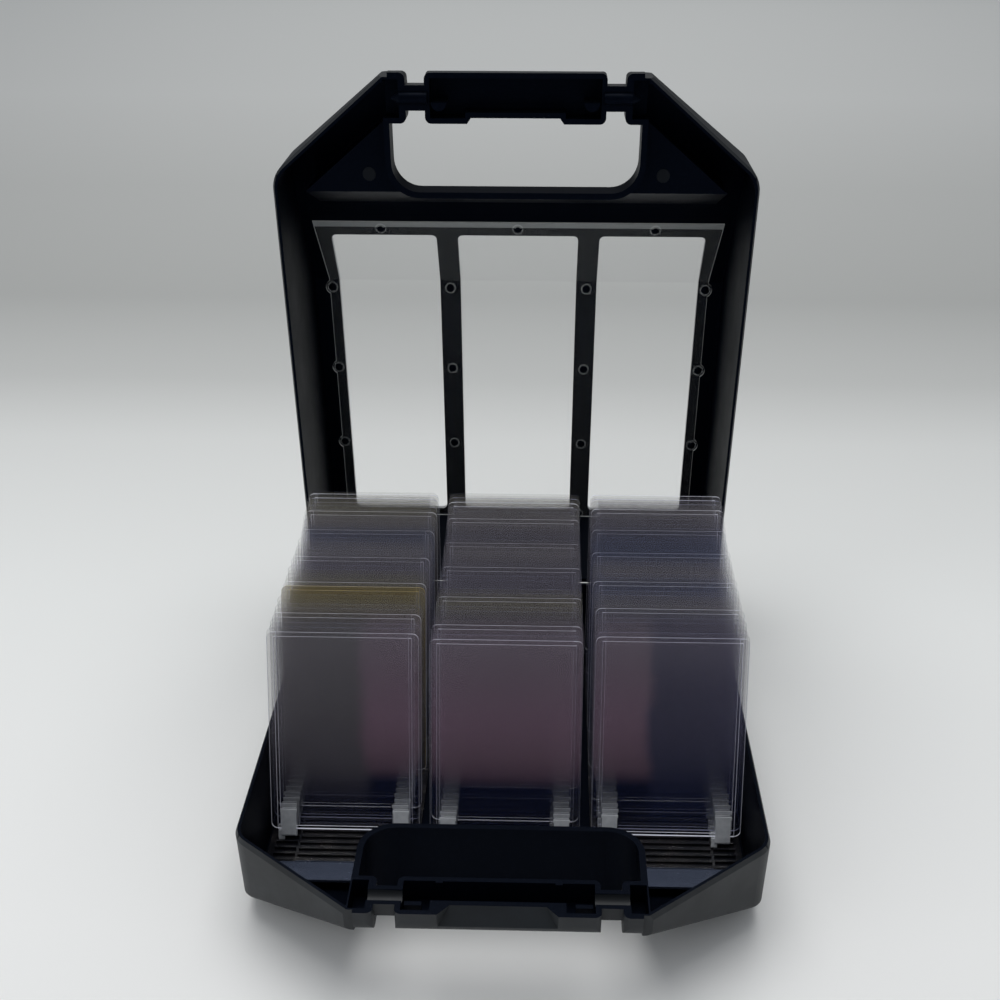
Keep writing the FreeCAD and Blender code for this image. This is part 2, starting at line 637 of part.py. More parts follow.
def build_lid():
    outer = outer_body("lid")
    hollow = cut("lid_hollow", outer, [cavity("lid")])
    recess_block = plateau("lid_recess_block", "dims.plateau_wall", "dims.grip_depth - dims.plateau_wall")
    recess_skin = common("lid_recess_skin", outer, recess_block)
    collar = hole_block("lid", "lid_collar", TOWER_HALF, (TOWER_NEAR, "dims.grip_inner + dims.grip_wall"),
                        size("hole_radius") + size("hole_wall"), ("dims.seam_gap", "dims.grip_depth"))
    walls = fuse("lid_walls", [hollow, recess_skin, collar, sill("lid")])
    hole = hole_block("lid", "lid_hole", HOLE_HALF, ("dims.hole_reach", "dims.grip_reach + 10"),
                      size("hole_radius"), ("-1", "dims.lid_depth + 1"))
    recess = plateau("lid_recess", "0", "dims.grip_depth")
    opened = cut("lid_open", walls, [hole, recess] + notches("lid") + windows())
    solids, hollows = handle("lid")
    knuckle_solids, bores = knuckles("lid")
    body = fuse("lid_body", [opened] + solids + knuckle_solids + stops("lid"))
    carved = cut("lid_carved", body, hollows + chambers("lid") + bores)
    return fuse("lid_shell", [carved] + lid_rods() + tongues())


# the window pane and its stakes

def under_panel(name, gap):
    """Everything below the inner face of the panel, lowered by a gap."""
    skin = f"dims.lid_skin + ({gap})"
    bend = bend_at("lid", skin)
    far = "(dims.pane_far + 1)"
    wide = ("-dims.case_width / 2", "dims.case_width / 2")
    top = f"dims.lid_depth - ({skin})"
    return fuse(name, [
        box(f"{name}_flat", wide, ("0", bend), ("0", top)),
        wedge(f"{name}_slope", (bend, wide, ("0", top)), (far, wide, ("0", depth_at("lid", far, skin)))),
    ])


STAKE_ROWS = ("dims.stake_first", "dims.stake_first - dims.stake_step",
              "dims.stake_first - 2 * dims.stake_step", "dims.stake_first - 3 * dims.stake_step")


def stake_columns():
    return ("-dims.stake_outer", "-dims.stake_inner", "dims.stake_inner", "dims.stake_outer")


def build_pane():
    sheet_block = cut("pane_layer", under_panel("pane_upper", "dims.pane_gap"),
                      [under_panel("pane_lower", "dims.pane_gap + dims.pane_thick")])
    deep = ("dims.lid_nose", "dims.lid_depth")
    half = ("-dims.pane_half", "dims.pane_half")
    plan = [box("pane_plan", half, ("dims.pane_near", "dims.lid_bend"), deep),
            wedge("pane_plan_flare", ("dims.lid_bend", half, deep),
                  ("dims.pane_far", ("-dims.pane_flare", "dims.pane_flare"), deep))]
    for row, reach in enumerate(STAKE_ROWS[:3]):
        for end, x in enumerate(("-dims.stake_outer", "dims.stake_outer")):
            plan.append(post(f"pane_ear_{row}_{end}", "dims.ear_radius", x, reach, deep))
    pane = common("pane_sheet", sheet_block, fuse("pane_outline", plan))
    holes = []
    for row, reach in enumerate(STAKE_ROWS):
        for column, x in enumerate(stake_columns()):
            holes.append(post(f"pane_hole_{row}_{column}", "dims.stake_radius + dims.pane_gap",
                              x, reach, deep))
    for index in (-1, 0, 1):
        x = f"{index} * dims.stake_spread"
        holes.append(post(f"pane_top_hole_{index + 1}", "dims.stake_radius * 1.25 + dims.pane_gap", x,
                          "dims.stake_top", deep))
    return cut("window_pane", pane, holes)


def stake(length):
    """A stake with a domed head, growing down from the panel at the origin."""
    radius, head, rise = size("stake_radius"), size("head_radius"), size("head_rise")
    shank = Part.makeCylinder(radius, length, FreeCAD.Vector(), FreeCAD.Vector(0, 0, -1))
    ball = (head * head + rise * rise) / (2 * rise)
    dome = Part.makeSphere(ball, FreeCAD.Vector(0, 0, ball - rise))
    keep = Part.makeCylinder(head, rise, FreeCAD.Vector(), FreeCAD.Vector(0, 0, -1))
    cap = dome.common(keep)
    cap.translate(FreeCAD.Vector(0, 0, -length))
    return shank.fuse(cap).removeSplitter()


def build_stakes():
    """All heat stakes as one group of separate solids."""
    rows = [size("stake_first") - index * size("stake_step") for index in range(4)]
    length = size("pane_gap") + size("pane_thick")
    panel = size("lid_depth") - size("lid_skin")
    solids = []
    for reach in rows:
        for x in (-size("stake_outer"), -size("stake_inner"), size("stake_inner"), size("stake_outer")):
            solid = stake(length)
            solid.translate(FreeCAD.Vector(x, -reach, panel))
            solids.append(solid)
    fall = (size("lid_depth") - size("lid_nose")) / (size("grip_reach") - size("lid_bend"))
    tilt = math.degrees(math.atan(fall))
    drop = (size("stake_top") - size("lid_bend")) * fall + size("lid_skin") * math.hypot(1, fall)
    for index in (-1, 0, 1):
        solid = stake(length)
        solid.rotate(FreeCAD.Vector(), FreeCAD.Vector(1, 0, 0), tilt)
        solid.translate(FreeCAD.Vector(index * size("stake_spread"), -size("stake_top"),
                                       size("lid_depth") - drop))
        solids.append(solid)
    group = document.addObject("Part::Feature", "pane_rivets")
    group.Shape = Part.makeCompound(solids)
    return group


def build_pins():
    """Two steel hinge pins as one group of separate solids."""
    near_end = size("knuckle_near") - size("pin_head")
    length = 2 * size("knuckle_length") + 2 * size("knuckle_gap") + size("lid_knuckle") + 2 * size("pin_head")
    along = FreeCAD.Vector(1, 0, 0)
    solids = [Part.makeCylinder(size("pin_radius"), length, FreeCAD.Vector(start, 0, 0), along)
              for start in (near_end, -near_end - length)]
    group = document.addObject("Part::Feature", "hinge_pins")
    group.Shape = Part.makeCompound(solids)
    return group


# the racks

def slot_count():
    """Slots from the rearmost one to the end of the flat part of a rack."""
    return int((size("rack_flat_end") - size("slot_first")) / size("slot_pitch")) + 1


def build_rack(name, column):
    """A plate with floor ridges, two rows of comb fins and a smooth apron on the rising floor."""
    centre = f"({column} * dims.column_pitch)"
    bottom = "(dims.base_skin - dims.base_depth)"
    plate_top = f"({bottom} + dims.rack_plate)"
    across = (f"{centre} - dims.rack_half", f"{centre} + dims.rack_half")
    start = "dims.rack_flat_end"
    pieces = [box(f"{name}_plate", across, ("dims.rack_near", start), (bottom, plate_top))]

    def apron(tag, x, near_reach, far_reach):
        def lift(reach):
            low = f"({bottom} + (({reach}) - {start}) * dims.apron_slope)"
            return low, f"({low} + dims.rack_plate)"
        return wedge(f"{name}_{tag}", (near_reach, x, lift(near_reach)), (far_reach, x, lift(far_reach)))
    pieces.append(apron("apron", across, start, "dims.apron_end"))
    if column:
        inner = f"({TOWER_HALF} + dims.apron_gap)"
        outer = f"({centre} * {column} + dims.rack_half)"
        span = (inner, outer) if column > 0 else (f"-{outer}", f"-{inner}")
        pieces.append(apron("tail", span, "dims.apron_end", "dims.apron_tail"))
    for index in range(slot_count()):
        between = f"(dims.slot_first + ({index} + 0.5) * dims.slot_pitch)"
        pieces.append(box(f"{name}_ridge_{index}",
                          (f"{centre} - dims.ridge_half", f"{centre} + dims.ridge_half"),
                          (f"{between} - dims.ridge_thick / 2", f"{between} + dims.ridge_thick / 2"),
                          (plate_top, f"{plate_top} + dims.ridge_rise")))
        fins = (("dims.fin_near", "dims.fin_far"), ("-dims.fin_far", "-dims.fin_near"))
        for side, (low, high) in enumerate(fins):
            pieces.append(box(f"{name}_fin_{index}_{side}", (f"{centre} + {low}", f"{centre} + {high}"),
                              (f"{between} - dims.fin_thick / 2", f"{between} + dims.fin_thick / 2"),
                              (plate_top, f"{plate_top} + dims.fin_rise")))
    return fuse(name, pieces)


# sleeves and feet

def sleeve_master():
    """One sleeve standing upright over its pivot: two sheets with a card pocket open at the top."""
    bottom, top = "dims.sleeve_rise", "(dims.sleeve_rise + dims.sleeve_height)"
    half = "(dims.sleeve_width / 2)"
    back = box("sleeve_back_sharp", (f"-{half}", half), ("-dims.sleeve_thick / 2", "0"), (bottom, top))
    back = rounded("sleeve_back", back, size("sleeve_radius"),
                   lambda middle, direction: abs(direction.x) + abs(direction.z) < 0.01)
    front = box("sleeve_front", ("-dims.front_half", "dims.front_half"), ("0", "dims.sleeve_thick / 2"),
                (bottom, f"{top} - dims.front_drop"))
    pocket = box("sleeve_pocket", ("-dims.pocket_half", "dims.pocket_half"),
                 ("-dims.pocket_thick / 2", "dims.pocket_thick / 2"),
                 (f"{bottom} + dims.pocket_floor", f"{top} + 1"))
    return cut("sleeve_master", fuse("sleeve_sheets", [back, front]), [pocket])


def feet_master():
    """The two clip feet of one sleeve, each with a round pivot end that stands in a rack slot."""
    bottom = "dims.sleeve_rise"
    inner = "(dims.sleeve_thick / 2 + dims.foot_gap)"
    outer = f"({inner} + dims.foot_plate)"
    low, high = f"({bottom} - dims.foot_drop)", f"({bottom} + dims.foot_top)"
    feet = []
    for end, x in enumerate(("-dims.foot_spread", "dims.foot_spread")):
        side = (f"{x} - dims.foot_width / 2", f"{x} + dims.foot_width / 2")
        lip = (f"{x} - dims.foot_width / 2 - dims.foot_lip", f"{x} + dims.foot_width / 2 + dims.foot_lip")
        block = box(f"foot_block_{end}", side, (f"-{outer}", outer), (low, high))
        block = rounded(f"foot_round_{end}", block, size("foot_plate") * 1.6,
                        lambda middle, direction: crosswise(direction)
                        and middle.z < size("sleeve_rise"))
        brim = box(f"foot_lip_{end}", lip, (inner, outer), (f"{high} - dims.foot_lip_height", high))
        slot = box(f"foot_slot_{end}", (f"{x} - dims.foot_width", f"{x} + dims.foot_width"),
                   (f"-{inner}", inner), (f"{bottom} - dims.foot_gap", f"{high} + 1"))
        clip = cut(f"foot_clip_{end}", fuse(f"foot_body_{end}", [block, brim]), [slot])
        barb_middle = f"({x} - dims.barb_offset)"
        barb = (f"{barb_middle} - dims.barb_width / 2", f"{barb_middle} + dims.barb_width / 2")
        tab = box(f"foot_tab_{end}", barb, ("-dims.barb_radius", "dims.barb_radius"),
                  ("0", f"{bottom} - dims.foot_gap - 1"))
        tip = rod(f"foot_tip_{end}", "dims.barb_radius", barb, "0", "0")
        feet.append(fuse(f"foot_{end}", [clip, tab, tip]))
    pair = document.addObject("Part::Compound", "feet_master")
    pair.Links = feet
    return pair


FLIP_COUNT = 5
COLUMNS = (("left", -1, 39), ("centre", 0, 40), ("right", 1, 39))


def lean_of(index, total, seed):
    """Lean of a sleeve, counted from the rearmost: a fan that opens up to the lean of the front ones."""
    lean = min(size("lean_rear") + index * size("lean_step"), size("lean_front"))
    fanned = lean >= size("lean_front") and index < total - FLIP_COUNT - 1
    return lean + (size("lean_jitter") * math.sin(1.9 * index + seed) if fanned else 0.0)


def sleeve_placement(column, index, total):
    """Where a sleeve's pivot stands at rest, relative to the hinge axis."""
    seed = 2.1 * column
    x = column * size("column_pitch") + size("side_jitter") * math.sin(2.7 * index + 1.3 + seed)
    reach = size("slot_first") + index * size("slot_pitch")
    pivot = size("base_skin") + size("rack_plate") + size("slot_gap") + size("barb_radius")
    turn = FreeCAD.Rotation(FreeCAD.Vector(1, 0, 0), -lean_of(index, total, seed))
    return FreeCAD.Placement(FreeCAD.Vector(x, -reach, pivot - size("base_depth")), turn)


def placed(master, placement):
    shape = master.Shape.copy()
    shape.Placement = placement.multiply(shape.Placement)
    return shape


def group_of(name, master, placements):
    group = document.addObject("Part::Feature", name)
    solids = []
    for placement in placements:
        solids += placed(master, placement).Solids
    group.Shape = Part.makeCompound(solids)
    return group


def build_column(name, column, total, sleeve, feet):
    """The front sleeves of a column one by one, and the rest as one stack."""
    parts = []
    for order in range(1, FLIP_COUNT + 1):
        placement = sleeve_placement(column, total - order, total)
        parts.append(group_of(f"{name}_sleeve_{order}", sleeve, [placement]))
        parts.append(group_of(f"{name}_feet_{order}", feet, [placement]))
    rest = [sleeve_placement(column, index, total) for index in range(total - FLIP_COUNT)]
    parts.append(group_of(f"{name}_sleeve_stack", sleeve, rest))
    parts.append(group_of(f"{name}_feet_stack", feet, rest))
    return parts


# assembly

def seat(item, opened):
    """Puts a sub-part built about the hinge axis into the case's frame, the lid turned open."""
    turn = FreeCAD.Rotation(FreeCAD.Vector(1, 0, 0), -90 if opened else 0)
    item.Placement = FreeCAD.Placement(FreeCAD.Vector(), turn)
    item.setExpression("Placement.Base.y", "(dims.grip_reach - dims.lid_depth) / 2")
    item.setExpression("Placement.Base.z", "dims.base_depth")
    item.Label = item.Name
    return item


in_base = [build_base(), build_pins()]
in_base += [build_rack(f"index_rack_{name}", column) for name, column, total in COLUMNS]
in_lid = [build_lid(), build_pane(), build_stakes()]
sleeve = sleeve_master()
feet = feet_master()
document.recompute()
for name, column, total in COLUMNS:
    in_base += build_column(name, column, total, sleeve, feet)
sub_parts = [seat(item, False) for item in in_base] + [seat(item, True) for item in in_lid]
document.recompute()

for item in document.Objects:
    if "Invalid" in item.State or "Error" in item.State:
        raise RuntimeError(f"{item.Name} failed: {item.State}")
for item in sub_parts:
    if item.Shape.isNull() or not item.Shape.isValid() or not item.Shape.Solids:
        raise RuntimeError(f"{item.Label} has no valid shape")

os.makedirs("parts", exist_ok=True)
for item in sub_parts:
    item.Shape.exportStep(f"parts/{item.Label}.step")
    print(item.Label, len(item.Shape.Solids), round(item.Shape.Volume))
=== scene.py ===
import math
import bpy
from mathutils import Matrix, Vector


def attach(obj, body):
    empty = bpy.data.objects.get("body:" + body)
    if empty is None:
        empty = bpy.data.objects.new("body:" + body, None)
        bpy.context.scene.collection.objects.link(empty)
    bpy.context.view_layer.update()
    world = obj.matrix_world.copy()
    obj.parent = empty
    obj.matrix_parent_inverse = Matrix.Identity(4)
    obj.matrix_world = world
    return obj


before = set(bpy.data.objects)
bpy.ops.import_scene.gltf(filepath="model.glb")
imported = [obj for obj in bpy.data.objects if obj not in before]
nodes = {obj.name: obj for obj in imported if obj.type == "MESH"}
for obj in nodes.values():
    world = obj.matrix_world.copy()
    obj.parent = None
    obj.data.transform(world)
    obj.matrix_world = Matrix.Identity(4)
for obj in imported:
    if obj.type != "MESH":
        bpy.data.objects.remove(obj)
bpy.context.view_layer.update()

mm = 0.001


def hexColor(code):
    # sRGB hex to the linear values that nodes take
    linear = []
    for start in (1, 3, 5):
        value = int(code[start:start + 2], 16) / 255
        linear.append(value / 12.92 if value <= 0.04045 else ((value + 0.055) / 1.055) ** 2.4)
    return (*linear, 1.0)


def addNode(tree, kind, inputs=None, **settings):
    # one node with its settings, its socket values and its links
    node = tree.nodes.new(kind)
    for name, value in settings.items():
        setattr(node, name, value)
    for name, value in (inputs or {}).items():
        if isinstance(value, bpy.types.NodeSocket):
            tree.links.new(value, node.inputs[name])
        else:
            node.inputs[name].default_value = value
    return node


def newMaterial(name):
    material = bpy.data.materials.new(name)
    material.use_nodes = True
    material.node_tree.nodes.clear()
    return material, material.node_tree


def closeMaterial(tree, look):
    # every surface here ends in one Principled shader
    shader = addNode(tree, "ShaderNodeBsdfPrincipled", look)
    addNode(tree, "ShaderNodeOutputMaterial", {"Surface": shader.outputs["BSDF"]})


def colorRamp(tree, factor, stops):
    node = addNode(tree, "ShaderNodeValToRGB", {"Fac": factor})
    ramp = node.color_ramp
    while len(ramp.elements) < len(stops):
        ramp.elements.new(0.5)
    for element, (position, color) in zip(ramp.elements, stops):
        element.position = position
        element.color = color
    return node.outputs["Color"]


def mixColor(tree, factor, first, second):
    # second over first, by factor
    node = addNode(tree, "ShaderNodeMix", data_type="RGBA")
    for socket, value in ((node.inputs[0], factor), (node.inputs[6], first), (node.inputs[7], second)):
        if isinstance(value, bpy.types.NodeSocket):
            tree.links.new(value, socket)
        else:
            socket.default_value = value
    return node.outputs[2]


def grey(value):
    return (value, value, value, 1.0)


# the case: two ABS mouldings, spark-eroded outside and polished inside

caseLook = {
    "outsideColor": "#161b20",
    "outsideWorn": "#21272d",
    "insideColor": "#04070f",
    "insideDusty": "#090e19",
    "insideShine": 0.07,
    "insideReflectionTint": "#8fa6d6",
    "edgeHighlightColor": "#6e7174",
    "edgeHighlightPale": "#a4a6a6",
    "markColor": "#0b1119",
    "grainSize": 0.9,      # mm, coarser than the real 0.2 mm grain so that it shows
    "grainDepth": 0.05,    # mm
}


def objectPoint(tree):
    return addNode(tree, "ShaderNodeTexCoord").outputs["Object"]


def noiseOf(tree, point, sizeMm, detail=3.0, roughness=0.5):
    # the noise's cell is sizeMm wide
    node = addNode(tree, "ShaderNodeTexNoise", {"Vector": point, "Scale": 1 / (sizeMm * mm),
                                                "Detail": detail, "Roughness": roughness})
    return node.outputs["Fac"]


def texturedAbs():
    # ABS from a spark-eroded mould: dull, dark grey, with a fine even grain and paler scuffs
    material, tree = newMaterial("ABS_spark_eroded_black")
    point = objectPoint(tree)
    scuffs = noiseOf(tree, point, 38, detail=6.0, roughness=0.65)
    color = colorRamp(tree, scuffs, [(0.42, hexColor(caseLook["outsideColor"])),
                                     (0.78, hexColor(caseLook["outsideWorn"]))])
    roughness = colorRamp(tree, scuffs, [(0.3, grey(0.62)), (0.8, grey(0.48))])
    grain = noiseOf(tree, point, caseLook["grainSize"], detail=2.0)
    bump = addNode(tree, "ShaderNodeBump", {"Height": grain, "Strength": 0.5,
                                            "Distance": caseLook["grainDepth"] * mm})
    closeMaterial(tree, {"Base Color": color, "Roughness": roughness, "IOR": 1.5,
                         "Normal": bump.outputs["Normal"]})
    return material


def polishedAbs():
    # the polished side of the same ABS: near black, with a soft gloss, moulding flow and a little dust
    material, tree = newMaterial("ABS_polished_black")
    point = objectPoint(tree)
    flow = noiseOf(tree, point, 55, detail=4.0, roughness=0.6)
    dust = noiseOf(tree, point, 2.2, detail=5.0, roughness=0.7)
    color = colorRamp(tree, dust, [(0.5, hexColor(caseLook["insideColor"])),
                                   (0.85, hexColor(caseLook["insideDusty"]))])
    roughness = colorRamp(tree, flow, [(0.35, grey(0.42)), (0.7, grey(0.52))])
    bump = addNode(tree, "ShaderNodeBump", {"Height": flow, "Strength": 0.25, "Distance": 0.25 * mm})
    # painted reflection colour: the specular tint makes the reflections bluish
    closeMaterial(tree, {"Base Color": color, "Roughness": roughness, "IOR": 1.5,
                         "Specular IOR Level": caseLook["insideShine"],
                         "Specular Tint": hexColor(caseLook["insideReflectionTint"]),
                         "Normal": bump.outputs["Normal"]})
    return material


def cutAbs():
    # trimmed window edges: the same ABS, painted pale grey as a highlight on the cut faces
    material, tree = newMaterial("ABS_trimmed_edge_painted_highlight")
    highlightPatches = noiseOf(tree, objectPoint(tree), 6, detail=3.0)
    color = colorRamp(tree, highlightPatches, [(0.3, hexColor(caseLook["edgeHighlightColor"])),
                                  (0.7, hexColor(caseLook["edgeHighlightPale"]))])
    closeMaterial(tree, {"Base Color": color, "Roughness": 0.4, "IOR": 1.5})
    return material


# the lines of the case in the frame's millimetres, as the CAD has them
caseShape = {
    "hingeY": 98.5,
    "rimZ": 50.0,
    "halfWidth": 124.0,
    "rearReach": 0.3,
    "cornerReach": 235.0,
    "gripInner": 260.0,
    "gripReach": 283.0,
    "gripEndHalf": 62.5,
    "noseHalf": 64.3,
    "wall": 2.5,
    "holeReach": 227.6,
    "recessInset": 19.6,   # from the cut-off edge to the finger recess in the lid
    "recessDepth": 14.0,
    "recessFall": 0.36,
    "skinGap": 2.4,        # faces nearer than this to the outer surface are outside faces
    "margin": 0.3,         # faces nearer than this to the rim or to the recess belong to it
    "slack": 0.2,          # the same for the walls of the grip
}
taper = (caseShape["halfWidth"] - caseShape["noseHalf"]) / (caseShape["gripReach"] - caseShape["cornerReach"])
gripHollow = {"depth": 12.0, "lipHalf": 29.6, "neckNear": 42.2, "neckFar": 56.5}
windowEdge = {"shallow": 0.3, "deep": 2.7, "half": 108.0, "near": 4.5, "far": 190.0}
baseShape = {"depth": 50.0, "bend": 215.0, "nose": 11.0, "scoop": 6.0}
lidShape = {"depth": 86.0, "bend": 159.0, "nose": 16.0, "scoop": 0.0}


def belowFace(reach, depth, half):
    # distance behind the closed face, which is flat and then slopes towards the grip
    below = half["depth"] - depth
    if reach < half["bend"]:
        return below
    slope = (half["depth"] - half["nose"]) / (caseShape["gripReach"] - half["bend"])
    return (below - (reach - half["bend"]) * slope) / math.hypot(1, slope)


def inHollow(x, reach, depth, half):
    # in the trough of the grip, between its end necks
    s, g = caseShape, gripHollow
    scooped = half["scoop"] if abs(x) < g["lipHalf"] else 0.0
    near = s["gripInner"] + s["wall"] - s["slack"]
    far = s["gripReach"] - s["wall"] - scooped + s["slack"]
    return near < reach < far and depth < g["depth"] and not g["neckNear"] < abs(x) < g["neckFar"]


def isInside(x, reach, depth, half):
    # polished on the rim, where a face lies behind the outer surface, and in the hollow of the grip
    s = caseShape
    if depth < s["margin"]:
        return True
    if reach > s["gripInner"] - 1 and abs(x) < s["gripEndHalf"] + s["slack"]:
        return inHollow(x, reach, depth, half)
    side = s["halfWidth"] - abs(x)
    if reach > s["cornerReach"]:
        side = (side - (reach - s["cornerReach"]) * taper) / math.hypot(1, taper)
    return min(side, reach - s["rearReach"], belowFace(reach, depth, half)) > s["skinGap"]


def baseInside(center):
    return isInside(center.x, caseShape["hingeY"] - center.y, caseShape["rimZ"] - center.z, baseShape)


def lidWindowEdge(center):
    # the cut faces of the three windows, between the two faces of the panel
    w = windowEdge
    reach, depth = center.z - caseShape["rimZ"], center.y - caseShape["hingeY"]
    within = abs(center.x) < w["half"] and w["near"] < reach < w["far"]
    return within and w["shallow"] < belowFace(reach, depth, lidShape) < w["deep"]


def onRecess(x, reach, depth):
    # on the finger recess, which is sunk into the lid's outer face
    s = caseShape
    start = s["holeReach"] - (depth - s["recessDepth"]) * s["recessFall"]
    if depth < s["recessDepth"] - s["margin"] or reach < start - s["margin"]:
        return False
    run = max(reach, s["holeReach"]) - s["cornerReach"]
    half = s["halfWidth"] - run * taper - s["recessInset"] * math.hypot(1, taper)
    return reach < s["gripInner"] and abs(x) < max(half, s["gripEndHalf"]) + s["margin"]


def lidInside(center):
    x, reach, depth = center.x, center.z - caseShape["rimZ"], center.y - caseShape["hingeY"]
    return isInside(x, reach, depth, lidShape) and not onRecess(x, reach, depth)


def assignByFace(node, outside, inside, test):
    mesh = nodes[node].data
    mesh.materials.clear()
    mesh.materials.append(outside)
    mesh.materials.append(inside)
    for face in mesh.polygons:
        face.material_index = 1 if test(face.center * 1000) else 0


def assignAll(node, material):
    mesh = nodes[node].data
    mesh.materials.clear()
    mesh.materials.append(material)
    for face in mesh.polygons:
        face.material_index = 0


outsideAbs = texturedAbs()
insideAbs = polishedAbs()
assignByFace("base_shell", outsideAbs, insideAbs, baseInside)
assignByFace("lid_shell", outsideAbs, insideAbs, lidInside)
lidMesh = nodes["lid_shell"].data
lidMesh.materials.append(cutAbs())
for face in lidMesh.polygons:
    if lidWindowEdge(face.center * 1000):
        face.material_index = 2    # the trimmed edge
assignAll("pane_rivets", insideAbs)


def duskyAbs():
    # where an ejector pin stood: the same ABS, a shade duller than the polish round it
    material, tree = newMaterial("ABS_ejector_mark")
    matt = noiseOf(tree, objectPoint(tree), 1.5)
    roughness = colorRamp(tree, matt, [(0.3, grey(0.5)), (0.7, grey(0.62))])
    closeMaterial(tree, {"Base Color": hexColor(caseLook["markColor"]), "Roughness": roughness, "IOR": 1.5,
                         "Specular IOR Level": caseLook["insideShine"] * 2})
    return material


# the round marks that the mould's ejector pins leave on the finger recess
ejectorMark = {"x": 75.4, "y": 109.95, "z": 283.8, "radius": 3.4, "height": 0.3, "edge": 0.12}


def ejectorMarks():
    e = ejectorMark
    dusky = duskyAbs()
    for name, x in (("left", -e["x"]), ("right", e["x"])):
        bpy.ops.object.select_all(action="DESELECT")
        bpy.ops.mesh.primitive_cylinder_add(vertices=48, radius=e["radius"] * mm, depth=e["height"] * mm,
                                            location=(x * mm, e["y"] * mm, e["z"] * mm),
                                            rotation=(math.radians(90), 0, 0))
        mark = bpy.context.object
        mark.name = f"ejector_mark_{name}"
        bpy.ops.object.transform_apply(location=True, rotation=True, scale=True)
        softEdge = mark.modifiers.new("soft_edge", "BEVEL")
        softEdge.width = e["edge"] * mm
        softEdge.segments = 2
        mark.data.materials.append(dusky)
        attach(mark, "lid")


ejectorMarks()
print("case done")


# racks: injection-moulded polystyrene, glossy black with a painted brown sheen in patches

rackLook = {
    "color": "#0f1015",
    "paintedSheenColor": "#1d1a1c",
    "apronReflectionColor": "#434a5a",
    "apronStart": -104.6,    # Y in the frame, where the smooth apron starts
}


def rackPlastic():
    # high-impact polystyrene: glossy black, with a brownish sheen painted into the colour in patches
    material, tree = newMaterial("polystyrene_gloss_black")
    point = objectPoint(tree)
    sheenPatches = noiseOf(tree, point, 9, detail=4.0)
    sheenedColor = colorRamp(tree, sheenPatches, [(0.4, hexColor(rackLook["color"])),
                                  (0.75, hexColor(rackLook["paintedSheenColor"]))])
    # painted reflection: the smooth apron is painted paler, for the room it mirrors
    along = addNode(tree, "ShaderNodeSeparateXYZ", {"Vector": point}).outputs["Y"]
    apronReflectionMask = addNode(tree, "ShaderNodeMath", {0: along, 1: rackLook["apronStart"] * mm},
                    operation="LESS_THAN")
    color = mixColor(tree, apronReflectionMask.outputs["Value"], sheenedColor, hexColor(rackLook["apronReflectionColor"]))
    roughness = colorRamp(tree, sheenPatches, [(0.35, grey(0.16)), (0.75, grey(0.3))])
    waves = noiseOf(tree, point, 14, detail=2.0)
    bump = addNode(tree, "ShaderNodeBump", {"Height": waves, "Strength": 0.3, "Distance": 0.2 * mm})
    closeMaterial(tree, {"Base Color": color, "Roughness": roughness, "IOR": 1.55,
                         "Normal": bump.outputs["Normal"]})
    return material


rackMaterial = rackPlastic()
for column in ("left", "centre", "right"):
    assignAll(f"index_rack_{column}", rackMaterial)


pinLook = {
    "color": "#77797b",
    "lineWidth": 0.3,      # mm across the pin
    "lineStretch": 20.0,
}


def drawnSteel():
    # bright drawn steel wire, with fine lines along the pin
    material, tree = newMaterial("steel_drawn_wire")
    point = objectPoint(tree)
    stretched = addNode(tree, "ShaderNodeMapping", {"Vector": point,
                                                    "Scale": (1 / pinLook["lineStretch"], 1.0, 1.0)})
    lines = noiseOf(tree, stretched.outputs["Vector"], pinLook["lineWidth"])
    roughness = colorRamp(tree, lines, [(0.3, grey(0.25)), (0.7, grey(0.4))])
    closeMaterial(tree, {"Base Color": hexColor(pinLook["color"]), "Metallic": 1.0, "Roughness": roughness})
    return material


assignAll("hinge_pins", drawnSteel())
print("racks and pins done")


# clear pieces: rigid PVC sleeves and an acrylic pane

clearLook = {
    "sleeveGrazing": 0.3,  # how much of a face is seen at a grazing angle
    "sleeveRoughness": 0.15,
    "edgeRoughness": 0.25,
    "paintedEdgeGlow": 0.12,      # painted glow: emission on the cut edges, standing in for light led through the sheet to them
    "paneColor": "#dfe3e2",
    "paneFace": 0.01,
    "paneGrazing": 0.25,
    "paneBendReflection": 0.3,       # painted reflection: a pale band along the upper edge, at the bend
    "paneBendReflectionStart": 244.2,
    "paneRingHighlight": 0.22,      # painted highlight: a pale ring round each stake, at the edge of its hole
    "ringInner": 2.5,
    "ringOuter": 3.2,
    "paneEdge": 0.7,
    "topZ": 120.0,         # the colour bands of the sleeves run from the table to this height
    "plumOuter": 82.0,     # mm from the middle of the case, where the plum shade starts to show
    "plumInner": 76.0,
    "plumWander": 14.0,
    "plumCloud": 22.0,
}


def heightShadeColor(tree, point, stops):
    # painted shade and light: colour by height above the table, darker low down and paler towards the top;
    # stops are (mm, colour)
    height = addNode(tree, "ShaderNodeSeparateXYZ", {"Vector": point}).outputs["Z"]
    top = clearLook["topZ"]
    share = addNode(tree, "ShaderNodeMapRange", {"Value": height, "From Min": 0.0, "From Max": top * mm})
    return colorRamp(tree, share.outputs["Result"], [(place / top, hexColor(code)) for place, code in stops])


def maths(tree, operation, first, second=0.0, third=0.0):
    return addNode(tree, "ShaderNodeMath", {0: first, 1: second, 2: third},
                   operation=operation).outputs["Value"]


def plumMask(tree, point):
    # 1 over the inner part of the three columns, with a wandering border
    c = clearLook
    across = addNode(tree, "ShaderNodeSeparateXYZ", {"Vector": point}).outputs["X"]
    cloud = noiseOf(tree, point, c["plumCloud"])
    wander = maths(tree, "MULTIPLY_ADD", cloud, c["plumWander"] * mm, maths(tree, "ABSOLUTE", across))
    mask = addNode(tree, "ShaderNodeMapRange", {"Value": wander, "From Min": c["plumOuter"] * mm,
                                                "From Max": c["plumInner"] * mm})
    return mask.outputs["Result"]


